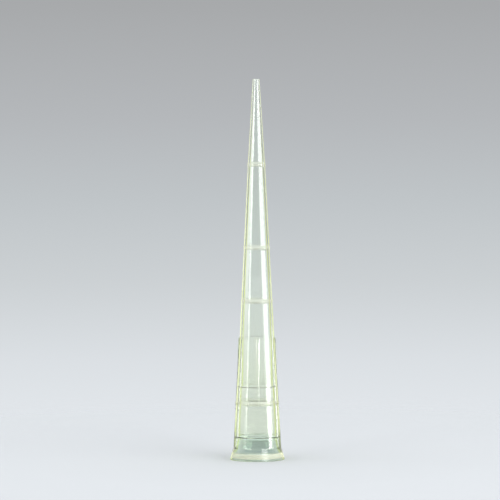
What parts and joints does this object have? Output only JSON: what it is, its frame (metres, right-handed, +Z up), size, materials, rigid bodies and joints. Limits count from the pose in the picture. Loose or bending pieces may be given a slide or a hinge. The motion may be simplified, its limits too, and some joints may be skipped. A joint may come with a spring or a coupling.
{
  "type": "pipette tip",
  "caption": "One-piece tapered pipette tip with a flared socket end, a ribbed collar, low volume rings and a fine orifice.",
  "frame": {"origin": "centre of the wide rim's face, where the tip stands", "axes": "+Z up the bore axis from the wide rim to the narrow end, +Y away from the first rib"},
  "size_m": [0.0072, 0.0072, 0.05],
  "materials": {
    "tip": "translucent yellow-tinted polypropylene, smooth moulded gloss"
  },
  "bodies": {
    "root": {"pipette_tip": "tip"}
  },
  "joints": []
}
